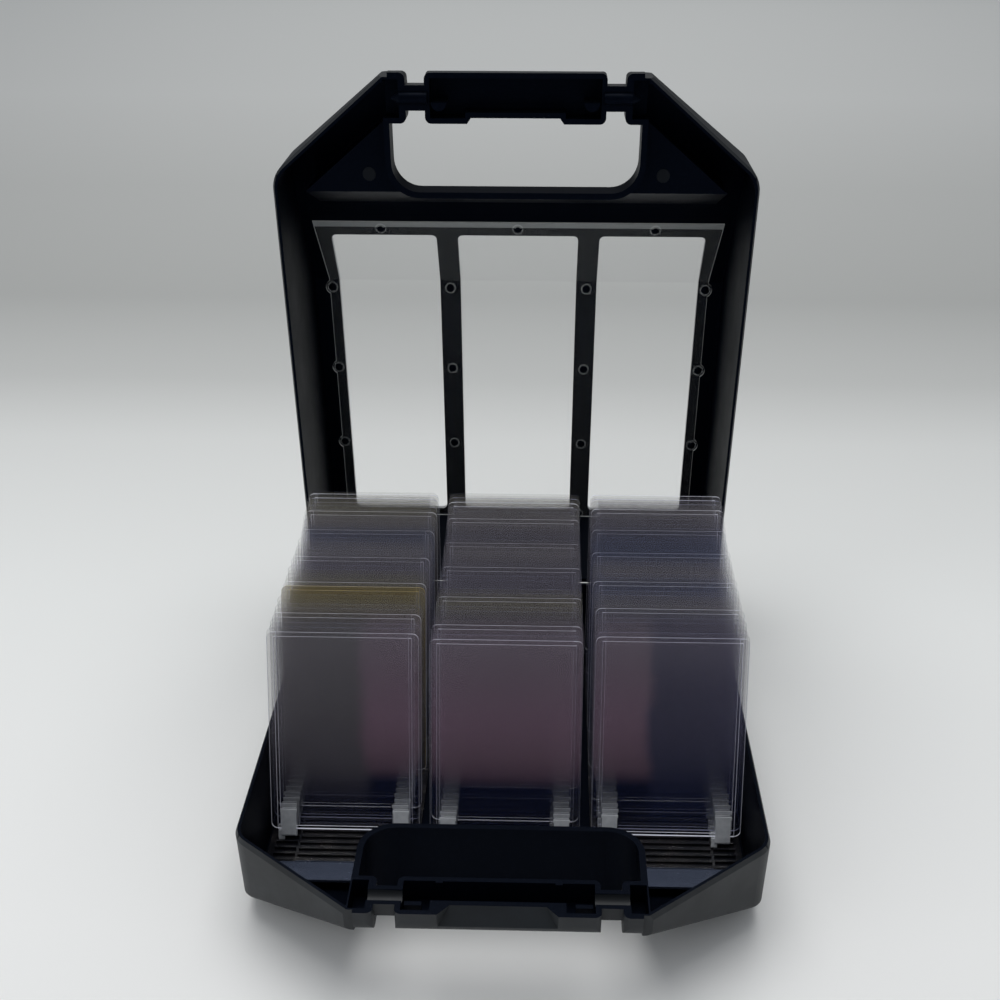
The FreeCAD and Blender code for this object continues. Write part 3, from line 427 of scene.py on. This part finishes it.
def clearSheet(name, color, facing, grazing, roughness, patch=None, paintedGlow=0.0):
    # thin clear sheet seen as a veil: weak square on, stronger at a grazing angle
    material, tree = newMaterial(name)
    if isinstance(color, str):
        color = hexColor(color)
    else:
        point = objectPoint(tree)
        color = heightShadeColor(tree, point, color)
        if patch:
            color = mixColor(tree, plumMask(tree, point), color, heightShadeColor(tree, point, patch))
    weight = addNode(tree, "ShaderNodeLayerWeight", {"Blend": 0.2}).outputs["Facing"]
    alpha = addNode(tree, "ShaderNodeMapRange", {"Value": weight, "To Min": facing, "To Max": grazing})
    # a glow, where one is asked for, is emission: painted light
    closeMaterial(tree, {"Base Color": color, "Roughness": roughness, "IOR": 1.5,
                         "Alpha": alpha.outputs["Result"],
                         "Emission Color": color, "Emission Strength": paintedGlow})
    return material


def openSide(name):
    # the far side of a clear sheet, which adds nothing to the veil
    material, tree = newMaterial(name)
    closeMaterial(tree, {"Base Color": hexColor("#5c5a62"), "Alpha": 0.0})
    return material


# the stack is painted deep blue at the bottom and smoky violet grey at the top: painted shade where it stands
# low in the case, painted light towards the top
# each tint: how much of a face is seen square on, and its colours by height in mm
sleeveTintsAndShade = {
    "violet": (0.13, [(4, "#10162a"), (24, "#2a2a3e"), (50, "#4a4252"), (80, "#5c5666"), (110, "#76747e")]),
    "neutral": (0.13, [(4, "#0f1527"), (24, "#282a36"), (50, "#4c4a50"), (80, "#6a666a"), (110, "#8c888c")]),
    "olive": (0.14, [(4, "#121524"), (24, "#2a282a"), (50, "#4a4642"), (80, "#68645c"), (110, "#8c887a")]),
    "amber": (0.5, [(4, "#2a2414"), (50, "#5a4c24"), (90, "#6e5f30"), (110, "#8a7a44")]),
    "front": (0.17, [(4, "#0d152c"), (24, "#1e2542"), (50, "#46455a"), (80, "#504e60"), (110, "#6c6876")]),
    "smoke": (0.17, [(4, "#0f152a"), (24, "#2a2c3c"), (38, "#55525a"), (60, "#5e5b61"), (110, "#6c6a70")]),
    "blue": (0.13, [(4, "#0b1428"), (24, "#22263a"), (50, "#3c3e56"), (80, "#4e526a"), (110, "#686c80")]),
}
# the plum patch carries the same painted shade, darker towards the bottom
plumStops = [(4, "#0c1226"), (34, "#1b2039"), (39, "#705a68"), (62, "#80697a"), (85, "#786a77"),
             (110, "#7a747e")]
plumTints = ("front", "smoke")
tintNames = list(sleeveTintsAndShade)
sleeveFaces = [clearSheet(f"PVC_clear_{tint}", stops, veil, clearLook["sleeveGrazing"],
                          clearLook["sleeveRoughness"], plumStops if tint in plumTints else None)
               for tint, (veil, stops) in sleeveTintsAndShade.items()]

# painted highlights: the cut edges are painted bright unevenly from one sleeve to the next, for the light
# they catch: colour and how much of an edge is seen
edgeHighlights = {"bright": ("#eceefa", 0.95), "medium": ("#a6a9c6", 0.55), "faint": ("#62667e", 0.22),
             "amber": ("#c9b46c", 0.8)}
edgeNames = list(edgeHighlights)
sleeveEdges = [clearSheet(f"PVC_cut_edge_painted_highlight_{name}", color, share, share, clearLook["edgeRoughness"],
                          paintedGlow=clearLook["paintedEdgeGlow"])
               for name, (color, share) in edgeHighlights.items()]
clearBack = openSide("PVC_clear_far_side")
sleeveMaterials = sleeveFaces + sleeveEdges + [clearBack]

sleeveShape = {
    "firstReach": 15.5,
    "pitch": 4.5,
    "pivotZ": 5.2,
    "leanFront": 23.0,
    "leanRear": 5.4,
    "leanStep": 1.25,
}
sleeveTotals = {"left": 39, "centre": 40, "right": 39}
tiltingSleeves = 5    # the front ones, each a node of its own
amberSleeves = {"left": (28,), "centre": (), "right": ()}
frontTint = {"left": "smoke", "centre": "front", "right": "front"}
frontSleeves = 6
runLength = 4    # sleeves in a row with the same tint, counted from the rear
tintRuns = {
    "left": "olive olive neutral blue neutral violet olive olive neutral neutral",
    "centre": "olive neutral neutral violet neutral violet violet olive violet neutral",
    "right": "neutral neutral violet blue blue neutral blue neutral blue blue",
}
# the painted edge highlight of each sleeve in turn
edgeRun = "faint bright faint medium faint faint medium faint bright faint medium faint faint"
edgeShift = {"left": 0, "centre": 4, "right": 8}


def sleeveIndex(center):
    # which sleeve of a column a point belongs to, counted from the rear
    s = sleeveShape
    reach = caseShape["hingeY"] - center.y
    best, bestGap = 0, 99.0
    for index in range(max(sleeveTotals.values())):
        lean = math.radians(min(s["leanRear"] + index * s["leanStep"], s["leanFront"]))
        along = reach - (s["firstReach"] + index * s["pitch"]) + (center.z - s["pivotZ"]) * math.tan(lean)
        if abs(along) < bestGap:
            best, bestGap = index, abs(along)
    return best


def sleeveLook(column, index):
    # the names of a sleeve's tint and of its edges' painted highlight
    if index in amberSleeves[column]:
        return "amber", "amber"
    tints, edges = tintRuns[column].split(), edgeRun.split()
    tint = tints[index // runLength % len(tints)]
    edge = edges[(index + edgeShift[column]) % len(edges)]
    if index >= sleeveTotals[column] - frontSleeves:
        tint = frontTint[column]
    # the front sleeve gets the brightest painted edge highlight
    if index == sleeveTotals[column] - 1:
        edge = "bright"
    return tint, edge


def dressSleeve(node, column):
    # one face slot per tint, then one edge slot per painted highlight, then the far side
    mesh = nodes[node].data
    mesh.materials.clear()
    for material in sleeveMaterials:
        mesh.materials.append(material)
    for face in mesh.polygons:
        tint, edge = sleeveLook(column, sleeveIndex(face.center * 1000))
        if abs(face.normal.x) > 0.3 or abs(face.normal.z) > 0.7:    # a cut edge
            face.material_index = len(tintNames) + edgeNames.index(edge)
        elif face.normal.y > 0:
            face.material_index = len(sleeveMaterials) - 1
        else:
            face.material_index = tintNames.index(tint)
    nodes[node].visible_shadow = False    # light passes the clear sleeves


for column in ("left", "centre", "right"):
    for order in range(1, tiltingSleeves + 1):
        dressSleeve(f"{column}_sleeve_{order}", column)
    dressSleeve(f"{column}_sleeve_stack", column)


# where the stakes stand: rows by height in the frame, columns by distance from the middle
stakePlan = {
    "firstZ": 203.6,       # the highest of the four rows, the others follow below
    "stepZ": 49.5,
    "inner": 40.5,
    "outer": 111.0,
    "topZ": 243.1,         # the single row along the upper edge
    "topSpread": 77.6,
    "ringRoom": 6.0,       # above the highest row, where the pattern of rows ends
}


def ringMask(tree, across, height):
    # 1 inside the ring whose centre lies at these two distances
    squares = maths(tree, "MULTIPLY_ADD", across, across, maths(tree, "MULTIPLY", height, height))
    away = maths(tree, "SQRT", squares)
    return maths(tree, "MULTIPLY", maths(tree, "GREATER_THAN", away, clearLook["ringInner"] * mm),
                 maths(tree, "LESS_THAN", away, clearLook["ringOuter"] * mm))


def stakeRingHighlights(tree, split):
    # painted highlights: pale rings round the stakes, from their rows and columns
    s = stakePlan
    side = maths(tree, "ABSOLUTE", split["X"])
    middle, half = (s["outer"] + s["inner"]) / 2 * mm, (s["outer"] - s["inner"]) / 2 * mm
    across = maths(tree, "SUBTRACT", maths(tree, "ABSOLUTE", maths(tree, "SUBTRACT", side, middle)), half)
    step = s["stepZ"] * mm
    shifted = maths(tree, "ADD", split["Z"], 4.5 * step - s["firstZ"] * mm)
    height = maths(tree, "SUBTRACT", maths(tree, "MODULO", shifted, step), 0.5 * step)
    below = maths(tree, "LESS_THAN", split["Z"], (s["firstZ"] + s["ringRoom"]) * mm)
    grid = maths(tree, "MULTIPLY", ringMask(tree, across, height), below)
    spread = s["topSpread"] * mm
    topAcross = maths(tree, "MINIMUM", side, maths(tree, "ABSOLUTE", maths(tree, "SUBTRACT", side, spread)))
    top = ringMask(tree, topAcross, maths(tree, "SUBTRACT", split["Z"], s["topZ"] * mm))
    return maths(tree, "MAXIMUM", grid, top)


def paneSheet():
    # clear acrylic: nearly nothing square on, with a painted reflection as a pale band along its upper edge
    # and painted highlight rings at the stakes
    material, tree = newMaterial("acrylic_clear_sheet")
    weight = addNode(tree, "ShaderNodeLayerWeight", {"Blend": 0.2}).outputs["Facing"]
    split = addNode(tree, "ShaderNodeSeparateXYZ", {"Vector": objectPoint(tree)}).outputs
    veil = addNode(tree, "ShaderNodeMapRange", {"Value": weight, "To Min": clearLook["paneFace"],
                                                "To Max": clearLook["paneGrazing"]})
    # painted reflection: the pane shows more above the band's start
    band = maths(tree, "GREATER_THAN", split["Z"], clearLook["paneBendReflectionStart"] * mm)
    veilWithReflection = maths(tree, "MULTIPLY_ADD", band, clearLook["paneBendReflection"], veil.outputs["Result"])
    alpha = maths(tree, "MULTIPLY_ADD", stakeRingHighlights(tree, split), clearLook["paneRingHighlight"], veilWithReflection)
    closeMaterial(tree, {"Base Color": hexColor(clearLook["paneColor"]), "Roughness": 0.1, "IOR": 1.5,
                         "Alpha": alpha})
    return material


# the pane's cut edges: pale, with the same painted glow as the sleeve edges
paneEdge = clearSheet("acrylic_cut_edge_painted_glow", clearLook["paneColor"], clearLook["paneEdge"], 0.9, 0.3,
                      paintedGlow=clearLook["paintedEdgeGlow"])
paneMesh = nodes["window_pane"].data
paneMesh.materials.clear()
paneMesh.materials.append(paneSheet())
paneMesh.materials.append(paneEdge)
for face in paneMesh.polygons:
    flat = abs(face.normal.y) > 0.95
    bent = abs(face.normal.y) > 0.8 and abs(face.normal.x) < 0.01 and face.normal.z * face.normal.y > 0
    face.material_index = 0 if flat or bent else 1


footLook = {
    "color": "#c3c6ca",
    "pale": "#d9dbde",
    "cloudSize": 3.0,      # mm
    "depth": 2.0,          # mm that light runs inside the plastic
}


def milkyPlastic():
    # natural polypropylene: milky and a little translucent
    material, tree = newMaterial("polypropylene_natural")
    point = objectPoint(tree)
    cloud = noiseOf(tree, point, footLook["cloudSize"], detail=3.0)
    color = colorRamp(tree, cloud, [(0.3, hexColor(footLook["color"])), (0.75, hexColor(footLook["pale"]))])
    closeMaterial(tree, {"Base Color": color, "Roughness": 0.38, "IOR": 1.49, "Subsurface Weight": 0.4,
                         "Subsurface Radius": (footLook["depth"] * mm,) * 3, "Alpha": 0.8})
    return material


footMaterial = milkyPlastic()
for column in ("left", "centre", "right"):
    for order in range(1, tiltingSleeves + 1):
        assignAll(f"{column}_feet_{order}", footMaterial)
    assignAll(f"{column}_feet_stack", footMaterial)
print("sleeves and pane done")


# floor, light and camera

studio = {
    # painted light and shade on the floor, by distance
    "floorLightFalloff": [(-0.15, "#ebebe9"), (0.16, "#dcdddb"), (0.42, "#c9cac8"), (0.56, "#b2b3b1"),
                   (0.8, "#a0a19f"), (1.3, "#acadab"), (2.0, "#c4c5c3"),
                   (3.4, "#dadbd8")],    # metres behind the case, colour
    "floorSize": 24.0,
    "worldStrength": 0.46,
    "worldMirrored": 0.07,    # what glossy faces see of it
    "keyEnergy": 20.0,
    "fillEnergy": 2.5,
    "farEnergy": 17.0,
    "backdropColor": "#b2b3b0",
}


def floorPaint():
    # plain matt paper; its tone, falling off and rising again with the distance, is painted light and shade
    material, tree = newMaterial("paper_matt_grey_painted_falloff")
    split = addNode(tree, "ShaderNodeSeparateXYZ", {"Vector": objectPoint(tree)})
    tones = studio["floorLightFalloff"]
    first, last = tones[0][0], tones[-1][0]
    far = addNode(tree, "ShaderNodeMapRange", {"Value": split.outputs["Y"], "From Min": first,
                                               "From Max": last})
    color = colorRamp(tree, far.outputs["Result"], [((place - first) / (last - first), hexColor(code))
                                                    for place, code in tones])
    closeMaterial(tree, {"Base Color": color, "Roughness": 0.9, "Specular IOR Level": 0.1})
    return material


bpy.ops.object.select_all(action="DESELECT")
bpy.ops.mesh.primitive_plane_add(size=studio["floorSize"], location=(0, 0, 0))
floor = bpy.context.object
floor.name = "studio_floor"
floor.data.materials.append(floorPaint())

world = bpy.data.worlds.new("studio_world")
bpy.context.scene.world = world
world.use_nodes = True
tree = world.node_tree
tree.nodes.clear()
paths = addNode(tree, "ShaderNodeLightPath")
seen = addNode(tree, "ShaderNodeMath", {0: paths.outputs["Is Camera Ray"],
                                        1: paths.outputs["Is Transmission Ray"]}, operation="MAXIMUM")
strength = addNode(tree, "ShaderNodeMapRange", {"Value": paths.outputs["Is Glossy Ray"],
                                                "To Min": studio["worldStrength"],
                                                "To Max": studio["worldMirrored"]})
light = addNode(tree, "ShaderNodeBackground", {"Color": hexColor("#eef2f8"),
                                               "Strength": strength.outputs["Result"]})
backdrop = addNode(tree, "ShaderNodeBackground", {"Color": hexColor(studio["backdropColor"]),
                                                  "Strength": 1.0})
mixed = addNode(tree, "ShaderNodeMixShader", {0: seen.outputs["Value"], 1: light.outputs["Background"],
                                              2: backdrop.outputs["Background"]})
addNode(tree, "ShaderNodeOutputWorld", {"Surface": mixed.outputs["Shader"]})


def areaLight(name, place, target, sizeMeters, energy):
    bpy.ops.object.light_add(type="AREA", location=place)
    lamp = bpy.context.object
    lamp.name = name
    lamp.data.size = sizeMeters
    lamp.data.energy = energy
    lamp.rotation_euler = (Vector(target) - Vector(place)).to_track_quat("-Z", "Y").to_euler()
    return lamp


areaLight("softbox_top", (-0.1, 0.5, 1.7), (0, 0, 0.1), 1.6, studio["keyEnergy"])
areaLight("softbox_left", (-1.3, -0.7, 1.0), (0, 0, 0.1), 0.9, studio["fillEnergy"])
farLamp = areaLight("softbox_far", (0.0, 2.4, 2.0), (0, 2.4, 0), 2.4, studio["farEnergy"])
farLamp.visible_glossy = False    # it lights the floor and isn't mirrored in the case

cameraView = {
    "place": (0.01586, -0.5641, 0.4353),
    "down": 34.97,         # degrees below the horizon
    "turn": 1.637,
    "lens": 44.885,
    "sensor": 36.0,
    "shift": (-0.0092, 0.1864),
}
bpy.ops.object.camera_add(location=cameraView["place"],
                          rotation=(math.radians(90 - cameraView["down"]), 0,
                                    math.radians(cameraView["turn"])))
camera = bpy.context.object
camera.name = "product_camera"
camera.data.lens = cameraView["lens"]
camera.data.sensor_width = cameraView["sensor"]
camera.data.shift_x, camera.data.shift_y = cameraView["shift"]
camera.data.clip_start = 0.01
bpy.context.scene.camera = camera
bpy.context.scene.view_settings.view_transform = "Standard"
bpy.context.scene.cycles.transparent_max_bounces = 80    # a view along a column passes all its sleeves
print("studio done")
